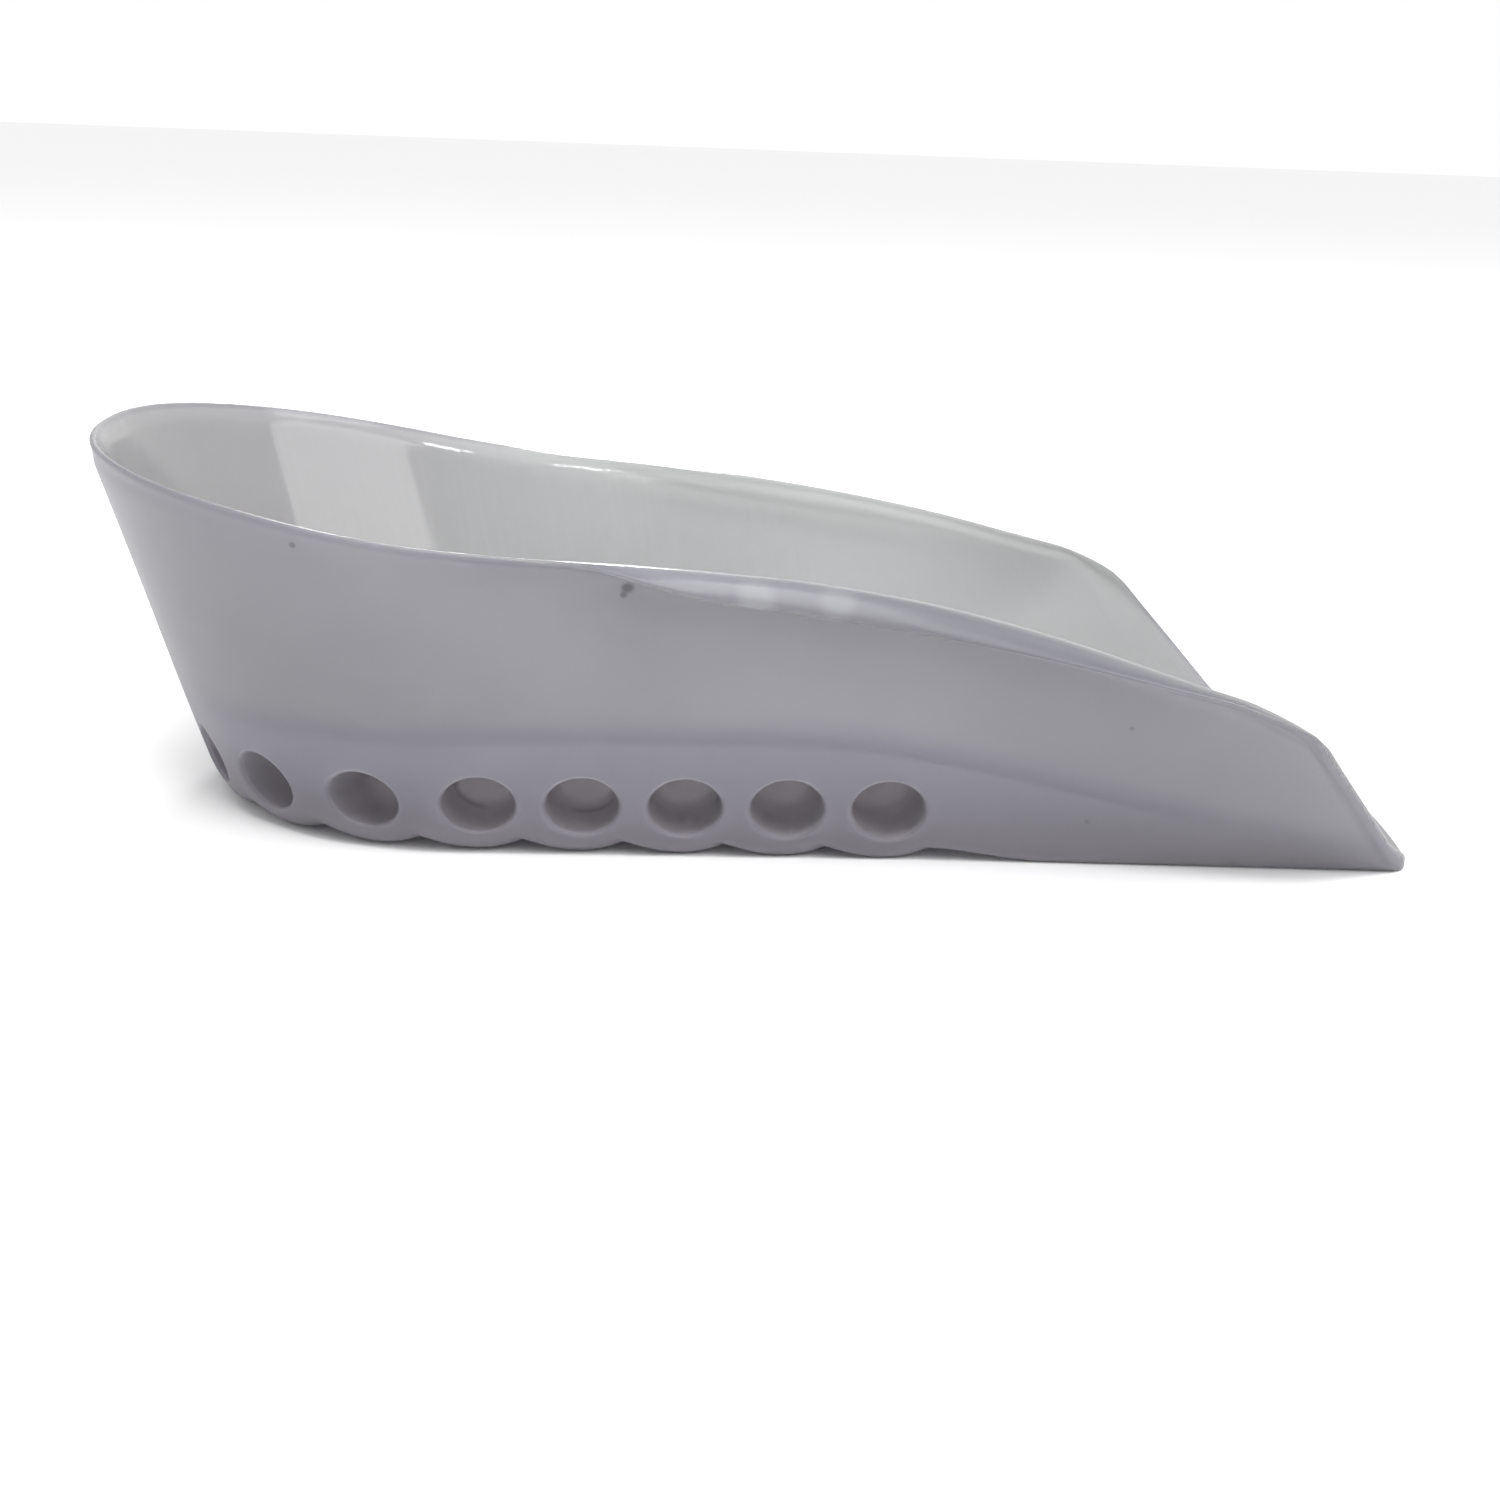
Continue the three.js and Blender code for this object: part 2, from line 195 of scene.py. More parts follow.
# %% The rim and the edge of the sole
def rim_value(column, along):
    """A column of the rim's table at a share of the rim's length."""
    last = len(RIM) - 1
    after = next((k for k, row in enumerate(RIM) if row[0] >= along), last)
    k = max(1, after)

    def slope(i):
        a, b = RIM[max(0, i - 1)], RIM[min(last, i + 1)]
        return (b[column] - a[column]) / (b[0] - a[0])

    a, b = RIM[k - 1], RIM[k]
    span = b[0] - a[0]
    t = clamp((along - a[0]) / span)
    out = t * (1 - t) ** 2 * span * slope(k - 1)
    back = t * t * (1 - t) * span * slope(k)
    return mix(a[column], b[column], t * t * (3 - 2 * t)) + out - back


def side_share(edge):
    """0 round the heel, and from there growing to 1 at the front corner."""
    return max(0.0, edge - HEEL_QUARTER) / (EDGE_LENGTH - HEEL_QUARTER)


def sole_edge(edge):
    """The sole's edge in plan, a length along it from the middle of the heel."""
    turn = min(edge, HEEL_QUARTER) / SOLE_HEEL_RADIUS
    share = side_share(edge)
    x = mix(SOLE_HEEL_CENTRE, SOLE_FRONT_CORNER, share) - SOLE_HEEL_RADIUS * math.cos(turn)
    y = mix(SOLE_HEEL_RADIUS, SOLE_FRONT_HALF_WIDTH, share) * math.sin(turn)
    return Vector((x, y))


def rim_crest(edge):
    """The rim beside that place: in plan, its height, and how far it is rolled."""
    turn = min(edge, HEEL_QUARTER) / SOLE_HEEL_RADIUS
    power = 2 / HEEL_RIM_SQUARENESS
    share = side_share(edge)
    x = mix(HEEL_RIM_DEPTH, RIM_LENGTH, share) - HEEL_RIM_DEPTH * abs(math.cos(turn)) ** power
    y = mix(HEEL_RIM_HALF_WIDTH, FRONT_RIM_HALF_WIDTH, share) * math.sin(turn) ** power
    along = x / RIM_LENGTH
    plan = Vector((x, y * rim_value(WIDTH, along)))
    return plan, RIM_HEIGHT * rim_value(HEIGHT, along), clamp(rim_value(ROLL, along))


def spine(edge):
    """The place on the sole's middle line from which a section runs outwards."""
    return Vector((mix(SOLE_HEEL_CENTRE, OVERALL_LENGTH, side_share(edge)), 0))


def bulk(x):
    """Share of the sole's full thickness at X."""
    t = clamp((x - TAPER_START) / (OVERALL_LENGTH - TAPER_START))
    return 1 - (t + smooth(t, 0, 1)) / 2


def scallop_rise(edge):
    """Height of the notches at the sole's edge."""
    if edge < SCALLOPED_LENGTH:
        phase = (edge / POCKET_PITCH + 0.5) % 1
        return SCALLOP_RISE * (2 * phase - 1) ** 2
    return SCALLOP_RISE * (1 - smooth(edge, SCALLOPED_LENGTH, SCALLOPED_LENGTH + SCALLOP_END_FADE))


print("the rim's height at its middle:", round(rim_crest(EDGE_LENGTH / 2)[1], 1), "mm")

# %% [markdown]
# One section has four stretches: the underside with its scallop, the wall outside, the lip that
# rolls outwards, and the same again inside. It could be one curve drawn freely, but then the lip
# would roll unevenly along the rim. So the lip is an arc, and the wall below it is one cubic curve.
# The rim's edge is a half circle, because silicone trimmed from a mould has no sharp edge.

# %% Curves of a section
LIP_STEPS = 12
EDGE_THINNING = 0.5  # the lip thins to this share at the rim's edge
THINNING_START = 0.3  # share of the lip that keeps its thickness


def bend(a, towards, b, t):
    """A place on a curve from one point to another that leans towards a third."""
    return a.lerp(towards, t).lerp(towards.lerp(b, t), t)


def cubic(a, b, c, d, t):
    """A place on a cubic curve, and the curve's direction there."""
    place = a * (1 - t) ** 3 + b * (3 * t * (1 - t) ** 2) + c * (3 * t * t * (1 - t)) + d * t**3
    pull = (b - a) * (1 - t) ** 2 + (c - b) * (2 * t * (1 - t)) + (d - c) * t * t
    return place, pull.normalized()


def lip_line(crest, lean, roll):
    """Places along the middle of the lip's thickness, each with its turn from upright."""
    curl = LIP_CURL * max(roll, LEAST_ROLL) ** LIP_EASE
    radius = LIP_LENGTH * mix(PLAIN_LIP, 1, roll) / curl

    def arc(turn):
        return Vector((math.cos(lean) - math.cos(turn), math.sin(turn) - math.sin(lean))) * radius

    top = arc(min(lean + curl, math.pi / 2))
    turns = [lean + curl * k / LIP_STEPS for k in range(LIP_STEPS + 1)]
    return [(arc(turn) + crest - top, turn) for turn in turns]


def lip_side(lip, k, distance):
    """A point beside the lip's middle. The lip thins towards the rim's edge."""
    place, lean = lip[k]
    thinning = mix(1, EDGE_THINNING, smooth(k / LIP_STEPS, THINNING_START, 1))
    return place + Vector((math.cos(lean), -math.sin(lean))) * (distance * thinning)


print("the lip is", round(LIP_LENGTH * PLAIN_LIP, 1), "to", LIP_LENGTH, "mm long")

# %% The wall and the floor's fillet
HALVINGS = 20  # of the wall, to find where the fillet ends


def wall_line(edge):
    """How far out the foot's rounding runs, the wall's outer curve, and the lip."""
    sole = sole_edge(edge)
    plan, height, roll = rim_crest(edge)
    near_front = clamp(1 - (EDGE_LENGTH - edge) / FRONT_CORNER_ROUNDING)
    cut = 1 - FRONT_CORNER_CUT * (1 - math.sqrt(1 - near_front**2))
    reach = (plan - sole).length * cut
    height = height * cut

    rounding = mix(FRONT_ROUNDING, 1, bulk(sole.x))
    run, rise = CORNER_RUN * rounding, CORNER_RISE * rounding
    straight = (reach - run) / height
    draft = max(FOOT_LEAN, straight)
    foot = Vector((run + draft * rise, rise))
    crest = Vector((reach - HALF_RIM, height - HALF_RIM * roll))
    lip = lip_line(crest, math.atan(straight) * (1 - roll), roll)

    top, lean = lip_side(lip, 0, HALF_RIM), lip[0][1]
    handle = (top.y - foot.y) * WALL_HANDLE
    above_foot = Vector((foot.x + draft * handle, foot.y + handle))
    below_top = Vector((top.x - math.sin(lean) * handle, top.y - math.cos(lean) * handle))
    return run, (foot, above_foot, below_top, top), lip


def inner_wall(wall, foot_thickness, t):
    """A point of the inner skin, the wall's thickness in from its outer curve."""
    place, pull = cubic(*wall, t)
    thickness = mix(foot_thickness, RIM_THICKNESS, smooth(t, 0, 1))
    return place + Vector((-pull.y, pull.x)) * thickness


def floor_fillet(wall, foot_thickness, floor, size):
    """The share of the wall where the fillet ends, and the fillet's top, corner and low end."""
    low, high = 0.0, 1.0
    for _ in range(HALVINGS):
        middle = (low + high) / 2
        if inner_wall(wall, foot_thickness, middle).y < floor + size:
            low = middle
        else:
            high = middle
    top = inner_wall(wall, foot_thickness, low)
    pull = cubic(*wall, low)[1]
    corner = Vector((top.x - pull.x / pull.y * (top.y - floor), floor))
    return low, top, corner, Vector((corner.x - size, floor))


wall_half_way = wall_line(EDGE_LENGTH / 2)[1]
print("half way along, the wall leans out by", round(wall_half_way[-1].x, 1), "mm")

# %% Points of one section
UNDERSIDE_STEPS = 12
ROUNDING_STEPS = 7
WALL_STEPS = 16
EDGE_STEPS = 6  # round the rim's edge
DISH_POWER = 2  # 2 is a parabola, more is flatter in the middle


def outer_points(half_sole, notch, run, wall):
    """From the middle of the underside out over the scallop and up the wall."""
    points = []
    for k in range(UNDERSIDE_STEPS):
        out = mix(-half_sole, 0, k / UNDERSIDE_STEPS)
        fade = clamp(1 + out / SCALLOP_RUN)
        points.append(Vector((out, notch * math.sin(math.pi / 2 * fade))))
    start, corner = Vector((0, notch)), Vector((run, notch / 2))
    for k in range(ROUNDING_STEPS):
        points.append(bend(start, corner, wall[0], k / ROUNDING_STEPS))
    for k in range(WALL_STEPS):
        points.append(cubic(*wall, k / WALL_STEPS)[0])
    return points


def lip_points(lip):
    """Up the outer side of the lip, round the rim's edge, and back along its inner side."""
    points = [lip_side(lip, k, HALF_RIM) for k in range(LIP_STEPS + 1)]
    end, lean = lip[LIP_STEPS]
    for k in range(1, EDGE_STEPS):
        turn = math.pi * k / EDGE_STEPS
        across = Vector((math.cos(lean), -math.sin(lean))) * math.cos(turn)
        ahead = Vector((math.sin(lean), math.cos(lean))) * math.sin(turn)
        points.append(end + (across + ahead) * (HALF_RIM * EDGE_THINNING))
    return points + [lip_side(lip, k, -HALF_RIM) for k in range(LIP_STEPS, -1, -1)]


def inner_points(half_sole, thick, wall):
    """Down the wall inside, round the fillet, and over the dished floor to its middle."""
    foot_thickness = mix(RIM_THICKNESS, WALL_FOOT_THICKNESS, thick)
    floor = mix(FRONT_THICKNESS, FLOOR_THICKNESS, thick)
    size = FLOOR_FILLET * mix(FRONT_ROUNDING, 1, thick)
    low, top, corner, floor_edge = floor_fillet(wall, foot_thickness, floor, size)
    points = []
    for k in range(WALL_STEPS - 1, -1, -1):
        points.append(inner_wall(wall, foot_thickness, mix(low, 1, k / WALL_STEPS)))
    for k in range(ROUNDING_STEPS - 1, -1, -1):
        points.append(bend(floor_edge, corner, top, k / ROUNDING_STEPS))
    for k in range(UNDERSIDE_STEPS - 1, -1, -1):
        share = k / UNDERSIDE_STEPS
        dish = FLOOR_DISH * thick * (1 - share**DISH_POWER)
        points.append(Vector((mix(-half_sole, floor_edge.x, share), floor - dish)))
    return points


def section(edge):
    sole = sole_edge(edge)
    half_sole = (sole - spine(edge)).length
    run, wall, lip = wall_line(edge)
    outer = outer_points(half_sole, scallop_rise(edge), run, wall)
    return outer + lip_points(lip) + inner_points(half_sole, bulk(sole.x), wall)


print("a section has", len(section(0)), "points")


# %% From a section to the cup
def place_point(edge, point, hand):
    """A section's point in its place. The hand is 1 for the far side and -1 for the near one."""
    sole, start = sole_edge(edge), spine(edge)
    if point.x < 0:
        share = 1 + point.x / (sole - start).length
        return Vector((mix(start.x, sole.x, share**2), hand * sole.y * share, point.y))
    outwards = (rim_crest(edge)[0] - sole).normalized()
    plan = sole + outwards * point.x
    return Vector((plan.x, hand * plan.y, point.y))


def lip_ends(edge):
    """About how far the wall is turned from upright where its lip starts and where it ends."""
    sole = sole_edge(edge)
    plan, height, roll = rim_crest(edge)
    start = math.atan(((plan - sole).length - CORNER_RUN) / height) * (1 - roll)
    return start, start + LIP_CURL * max(roll, LEAST_ROLL) ** LIP_EASE


widest_turn = max(lip_ends(EDGE_LENGTH * k / 100)[1] for k in range(101))
print("the lip turns over by up to", round(math.degrees(widest_turn)), "degrees")

# %% [markdown]
# ## Bend the grid
#
# The sections stand side by side from the far front corner round the heel to the near one. Ahead
# of the pockets they stand closer together towards the front corner, which is round. At each end
# a few more rows turn over the front edge in a half circle and meet in its middle, so the grid
# closes by itself when its doubled points are merged.

# %% Where the sections stand
STEPS_A_SCALLOP = 12
STEPS_AHEAD = 40
STEP_CROWDING = 1.8  # over 1, the steps ahead of the pockets get shorter towards the corner
FRONT_EDGE_STEPS = 4
FRONT_EDGE_REACH = 0.55  # how far back the rounding of the front edge reaches
CLEAR_OF_EDGE = 0.7  # no other section stands this near to the front edge

scalloped_steps = int((POCKETS_A_SIDE + 0.5) * STEPS_A_SCALLOP)
edges = [SCALLOPED_LENGTH * k / scalloped_steps for k in range(scalloped_steps + 1)]
for k in range(STEPS_AHEAD - 1, -1, -1):
    edge = mix(EDGE_LENGTH, SCALLOPED_LENGTH, (k / STEPS_AHEAD) ** STEP_CROWDING)
    if k == 0 or edge < EDGE_LENGTH - CLEAR_OF_EDGE:
        edges.append(edge)
side_points = [section(edge) for edge in edges]
lips = [lip_ends(edge) for edge in edges]
print(len(edges), "sections on each side")


# %% The rows of one side, and its rounded front edge
def rows_of_side(hand):
    rows = [[place_point(e, p, hand) for p in points] for e, points in zip(edges, side_points)]
    last, before = rows[-1], rows[-2]
    count = len(last)
    middles = [(last[j] + last[count - 1 - j]) / 2 for j in range(count)]
    inner = [(before[j] + before[count - 1 - j]) / 2 for j in range(count)]
    # The front edge keeps its place, so what comes before it moves back by the edge's radius.
    ahead = [(a - b).normalized() for a, b in zip(middles, inner)]
    turned = []
    for k in range(FRONT_EDGE_STEPS + 1):
        turn = math.pi / 2 * k / FRONT_EDGE_STEPS
        row = []
        for j in range(count):
            half = last[j] - middles[j]
            back = ahead[j] * (min(half.length, FRONT_EDGE_REACH) * (math.sin(turn) - 1))
            row.append(middles[j] + half * math.cos(turn) + back)
        turned.append(row)
    return rows[:-1] + turned


far_rows, near_rows = rows_of_side(1), rows_of_side(-1)
rows = far_rows[:0:-1] + near_rows
print(len(rows), "rows of", len(rows[0]), "points")

# %% [markdown]
# Now a flat grid is added, with as many rows as there are sections, and each of its points moves
# to its place. The grid brings its own map, which later says which way the wall runs.

# %% Put the grid's points in their places
bpy.ops.mesh.primitive_grid_add(
    x_subdivisions=len(rows) - 1, y_subdivisions=len(rows[0]) - 1, size=1, calc_uvs=True
)
cup = bpy.context.object
cup.name = cup.data.name = "silicone_cup"
grid_places = []
for vertex in cup.data.vertices:
    i = round((vertex.co.x + 0.5) * (len(rows) - 1))
    j = round((vertex.co.y + 0.5) * (len(rows[0]) - 1))
    grid_places.append((i, j))
    place = rows[i][j]
    vertex.co = Vector((place.x - MIDDLE, place.y, place.z)) * MM
print(len(cup.data.vertices), "points,", len(cup.data.polygons), "faces")

# %% [markdown]
# While the rows are still known, each point is given marks that the silicone's colour needs: is it
# on the inner skin, how far is it turned over in the lip, and how near is it to an edge. They could
# be painted by hand, but the grid's own order says them exactly.

# %% Mark the skins, the lip and the edges
EDGE_FADE = 2  # steps of the grid in which an edge's darker line fades
ROLLED_FROM, ROLLED_TO = math.radians(70), math.radians(100)  # turns of the wall from upright
middle_step = (len(rows[0]) - 1) / 2


def add_mark(thing, name, values):
    mark = thing.data.attributes.new(name, "FLOAT", "POINT")
    for entry, value in zip(mark.data, values):
        entry.value = value


def rolled_share(i, j):
    """1 where the inner skin has rolled over and faces outwards."""
    start, end = lip_turns[i]
    step = clamp((middle_step + EDGE_STEPS / 2 + LIP_STEPS - j) / LIP_STEPS)
    return smooth(mix(start, end, step), ROLLED_FROM, ROLLED_TO)


lip_turns = lips[::-1] + lips[1:]
lip_turns = [lip_turns[0]] * FRONT_EDGE_STEPS + lip_turns + [lip_turns[-1]] * FRONT_EDGE_STEPS
is_inner = [1.0 if j > middle_step else 0.0 for i, j in grid_places]
is_rolled = [rolled_share(i, j) if j > middle_step else 0.0 for i, j in grid_places]
near_edge = []
for i, j in grid_places:
    from_rim = max(0, abs(j - middle_step) - EDGE_STEPS / 2)
    from_front = max(0, min(i, len(rows) - 1 - i) - FRONT_EDGE_STEPS)
    near_edge.append(1 - smooth(min(from_rim, from_front), 0, EDGE_FADE))
add_mark(cup, "inner_skin", is_inner)
add_mark(cup, "rolled_lip", is_rolled)
add_mark(cup, "edge_line", near_edge)
print("marked", len(cup.data.vertices), "points")

# %% [markdown]
# Each side of the grid folds together on itself: one along the middle of the underside, one along
# the middle of the floor, and the two ends in the front edge. Merging the doubled points closes
# it, and then its faces can all be turned outwards at once.

# %% Close the grid and turn its faces outwards
WELD = 0.01  # points closer than this are one

bpy.ops.object.mode_set(mode="EDIT")
bpy.ops.mesh.select_all(action="SELECT")
bpy.ops.mesh.remove_doubles(threshold=WELD * MM)
bpy.ops.mesh.normals_make_consistent(inside=False)
bpy.ops.object.mode_set(mode="OBJECT")
print("after merging:", len(cup.data.vertices), "points,", len(cup.data.polygons), "faces")

# %% [markdown]
# ## The air pockets
#
# Steel pins in the mould leave a row of blind pockets in the thick edge, and the mouth of each is
# slightly rounded. They could be drilled as plain cylinders and bevelled, but a bevel on a curved
# wall tears. So the cutter itself has the rounded mouth: it starts as a circle, is extruded ring
# by ring, and its outer rings are set against the wall.

# %% The wall's place around a pocket
LINE_DECIMALS = 1  # one line of the wall serves each 0.1 mm of the sole's edge
WALL_TRIES = 6
TRY_SHARE = 0.8  # of what is missing, made up by each try


def outwards_at(edge):
    return (rim_crest(edge)[0] - sole_edge(edge)).normalized()


@functools.lru_cache(maxsize=None)
def outer_line(edge):
    return section(edge)[UNDERSIDE_STEPS : UNDERSIDE_STEPS + ROUNDING_STEPS + WALL_STEPS]


def reach_at(edge, height):
    """How far outside the sole's edge the wall stands at a height."""
    outer = outer_line(round(edge, LINE_DECIMALS))
    for a, b in zip(outer, outer[1:]):
        if a.y <= height <= b.y:
            return mix(a.x, b.x, (height - a.y) / (b.y - a.y))
    return outer[0].x


def wall_at(edge, across, along, sideways, height):
    """The same beside a pocket's axis, measured along the axis."""
    centre = sole_edge(edge)
    beside = edge + sideways
    for _ in range(WALL_TRIES):
        hand = -1 if beside < 0 else 1
        place = sole_edge(abs(beside)) + outwards_at(abs(beside)) * reach_at(abs(beside), height)
        place.y *= hand
        beside += (sideways - (place - centre).dot(along)) * TRY_SHARE
    return (place - centre).dot(across)


print("the wall stands", round(reach_at(20, POCKET_LEVEL), 2), "mm outside the sole's edge")

# %% The rings of a pocket
POCKET_SIDES = 40
POCKET_END_ROUNDING = 1.2
MOUTH_ROUNDING = 0.45
MOUTH_STEPS = 5
END_STEPS = 4
# Beyond the mouth: how many of its roundings the cutter is wider there, and how far outside.
BEYOND_MOUTH = [(1.05, 0.3), (1.1, 3)]


def pocket_rings():
    """Radius and depth of each ring from the pocket's end outwards, and whether the wall sets it."""
    radius, rounding = POCKET_WIDTH / 2, POCKET_END_ROUNDING
    rings = []
    for k in range(END_STEPS + 1):
        turn = math.pi / 2 * k / END_STEPS
        size = radius - rounding * (1 - math.sin(turn))
        rings.append((size, -POCKET_DEPTH + rounding * (1 - math.cos(turn)), False))
    for k in range(MOUTH_STEPS + 1):
        turn = math.pi / 2 * k / MOUTH_STEPS
        size = radius + MOUTH_ROUNDING * (1 - math.cos(turn))
        rings.append((size, -MOUTH_ROUNDING * (1 - math.sin(turn)), True))
    for widening, outside in BEYOND_MOUTH:
        rings.append((radius + MOUTH_ROUNDING * widening, outside, True))
    return rings


print("a cutter has", len(pocket_rings()), "rings of", POCKET_SIDES, "points")

# %% One cutter
NUDGE = 0.01  # step along the sole's edge that shows its direction


def pocket_axis(edge):
    """The sole's edge at a pocket, the ways along and across it, and how far out the mouth is."""
    centre = sole_edge(edge)
    along = (sole_edge(edge + NUDGE) - centre).normalized()
    across = Vector((-along.y, along.x))
    if across.dot(outwards_at(edge)) < 0:
        across = -across
    return centre, along, across, wall_at(edge, across, along, 0, POCKET_LEVEL)


def shape_cutter(cutter, rings, edge, axis, hand):
    """Height above the circle counts the rings, and tells each point its place on the pocket."""
    centre, along, across, mouth = axis
    for vertex in cutter.data.vertices:
        depth, on_wall = rings[round(vertex.co.z)][1:]
        sideways = vertex.co.x
        height = POCKET_LEVEL + vertex.co.y * POCKET_HEIGHT / POCKET_WIDTH
        distance = wall_at(edge, across, along, sideways, height) if on_wall else mouth
        plan = centre + along * sideways + across * (distance + depth)
        vertex.co = Vector((plan.x - MIDDLE, hand * plan.y, height)) * MM


def add_cutter(number, hand):
    rings = pocket_rings()
    bpy.ops.mesh.primitive_circle_add(
        vertices=POCKET_SIDES, radius=rings[0][0], fill_type="NGON", location=(0, 0, 0)
    )
    cutter = bpy.context.object
    bpy.ops.object.mode_set(mode="EDIT")
    bpy.ops.mesh.select_all(action="SELECT")
    for before, ring in zip(rings, rings[1:]):
        bpy.ops.mesh.extrude_region_move(TRANSFORM_OT_translate={"value": (0, 0, 1)})
        size = ring[0] / before[0]
        bpy.ops.transform.resize(value=(size, size, 1))
    bpy.ops.object.mode_set(mode="OBJECT")
    shape_cutter(cutter, rings, number * POCKET_PITCH, pocket_axes[number], hand)
    bpy.ops.object.mode_set(mode="EDIT")
    bpy.ops.mesh.select_all(action="SELECT")
    bpy.ops.mesh.normals_make_consistent(inside=False)
    bpy.ops.object.mode_set(mode="OBJECT")
    return cutter


pocket_axes = [pocket_axis(n * POCKET_PITCH) for n in range(POCKETS_A_SIDE + 1)]
print("the hindmost mouth is", round(pocket_axes[0][3], 1), "mm outside the sole's edge")

# %% [markdown]
# All the cutters become one object, so that one boolean cuts every pocket. The quick solver can
# leave gaps where a ring lies almost on the wall, so the exact one is used.

# %% Cut the pockets
SMOOTH_ANGLE = math.radians(42)  # a sharper turn than this stays an edge

bpy.ops.object.select_all(action="DESELECT")
cutters = [add_cutter(n, 1) for n in range(POCKETS_A_SIDE + 1)]
cutters += [add_cutter(n, -1) for n in range(1, POCKETS_A_SIDE + 1)]
print(len(cutters), "cutters")

bpy.ops.object.select_all(action="DESELECT")
for cutter in cutters:
    cutter.select_set(True)
bpy.context.view_layer.objects.active = cutters[0]
bpy.ops.object.join()
cutter = bpy.context.object

bpy.ops.object.select_all(action="DESELECT")
cup.select_set(True)
bpy.context.view_layer.objects.active = cup
drill = cup.modifiers.new("pockets", "BOOLEAN")
drill.operation = "DIFFERENCE"
drill.solver = "EXACT"
drill.object = cutter
bpy.ops.object.modifier_apply(modifier=drill.name)
bpy.data.objects.remove(cutter, do_unlink=True)
bpy.ops.object.shade_smooth_by_angle(angle=SMOOTH_ANGLE)
print("with pockets:", len(cup.data.polygons), "faces")

# %% [markdown]
# Three more marks come after the cut, because they hold for the pockets too: how much silicone
# stands behind a point, how deep it is in a pocket, which sets the light painted there, and whether
# it is on the painted highlight along the upper rim of a mouth.
# They could be made from the faces that the boolean leaves, but their order isn't known. A point's
# place says the same.

# %% Mark the thick sole and the pockets
BAND_RISE = 1.9  # the thick sole shows through the wall a little above the floor
BAND_SOFTNESS = 0.9
DEPTH_POWER = 0.6  # under 1, the tone fades more slowly than the sole thins
PAINTED_LIGHT_AT_MOUTH = 0.15  # share of a pocket's painted light just inside its mouth
BEFORE_MOUTH = 3  # how far outside a mouth its edge is looked for
BEHIND_END = 0.1  # and how far behind a pocket's end
ON_ITS_WALL = 0.05  # a point no further out than this is in the pocket
HIGHLIGHT_FROM, HIGHLIGHT_TO = 0.3, 0.9  # sine of the climb round the mouth, where the painted highlight on its rim begins and is full


def floor_height(x):
    return mix(FRONT_THICKNESS, FLOOR_THICKNESS, bulk(x))


def depth_behind(x, height):
    """How much silicone stands behind a point, as a share of the thick sole."""
    top = floor_height(x) + BAND_RISE
    below_band = 1 - smooth(height, top - BAND_SOFTNESS, top + BAND_SOFTNESS)
    return bulk(x) ** DEPTH_POWER * below_band


def pocket_marks(point):
    """How deep a point is in a pocket, which sets its painted light, and how far it is on the
    painted highlight along the upper rim of a mouth.
    """
    for centre, along, across, mouth in pocket_axes:
        plan = Vector((point.x, abs(point.y))) - centre
        upright = (point.z - POCKET_LEVEL) * POCKET_WIDTH / POCKET_HEIGHT
        radius = math.hypot(plan.dot(along), upright)
        past = radius - POCKET_WIDTH / 2
        inwards = mouth - plan.dot(across)
        beside = -BEFORE_MOUTH < inwards < POCKET_DEPTH + BEHIND_END
        if not beside or past > MOUTH_ROUNDING / 2:
            continue
        if past < ON_ITS_WALL:
            return mix(PAINTED_LIGHT_AT_MOUTH, 1, clamp(inwards / POCKET_DEPTH)), 0.0
        return 0.0, smooth(upright / radius, HIGHLIGHT_FROM, HIGHLIGHT_TO)
    return 0.0, 0.0


places = [vertex.co / MM + Vector((MIDDLE, 0, 0)) for vertex in cup.data.vertices]
found = [pocket_marks(place) for place in places]
add_mark(cup, "silicone_depth", [depth_behind(p.x, p.z) for p in places])
# The pocket mark says where light is painted into the pockets.
add_mark(cup, "pocket", [inside for inside, rim in found])
add_mark(cup, "pocket_rim_highlight", [rim for inside, rim in found])
print("marked", len(places), "points")

# %% [markdown]
# ## The silicone
#
# Translucent grey silicone rubber, cast in a polished mould. Light enters it and scatters, so the
# thin wall is pale and the thick sole is dark. It could be glass with fog in it, but that is slow
# and noisy, and other programs draw it badly. So the colour says how much silicone is behind each
# point. A part of the light passes through, and a part scatters below the skin and softens it.


# %% Colours and nodes
def linear(code):
    """A colour from its sRGB hex code, as the shader wants it."""
    parts = [int(code[k : k + 2], 16) / 255 for k in (1, 3, 5)]
    lit = [v / 12.92 if v <= 0.04045 else ((v + 0.055) / 1.055) ** 2.4 for v in parts]
    return (*lit, 1.0)


def add_node(tree, kind, settings=None, inputs=None):
    """One node. An input is a value, or a socket to link from."""
    node = tree.nodes.new(kind)
    for name, value in (settings or {}).items():
        setattr(node, name, value)
    for name, value in (inputs or {}).items():
        if isinstance(value, bpy.types.NodeSocket):
            tree.links.new(value, node.inputs[name])
        else:
            node.inputs[name].default_value = value
    return node


print("mid grey in linear light:", round(linear("#808080")[0], 3))

# %% Start the silicone
COLOUR = {"data_type": "RGBA"}
SMOOTH = {"interpolation_type": "SMOOTHSTEP"}
MARKS = ("inner_skin", "rolled_lip", "silicone_depth", "pocket", "pocket_rim_highlight", "edge_line")

silicone = bpy.data.materials.new("translucent_silicone")
silicone.use_nodes = True
tree = silicone.node_tree
tree.nodes.clear()
marks = {}
for name in MARKS:
    mark = add_node(tree, "ShaderNodeAttribute", {"attribute_name": name})
    marks[name] = mark.outputs["Fac"]
inner = marks["inner_skin"]
coordinates = add_node(tree, "ShaderNodeTexCoord")
axes = add_node(tree, "ShaderNodeSeparateXYZ", {}, {0: coordinates.outputs["Object"]})
along_x, above_floor = axes.outputs["X"], axes.outputs["Z"]
print("the colour reads", len(marks), "marks")
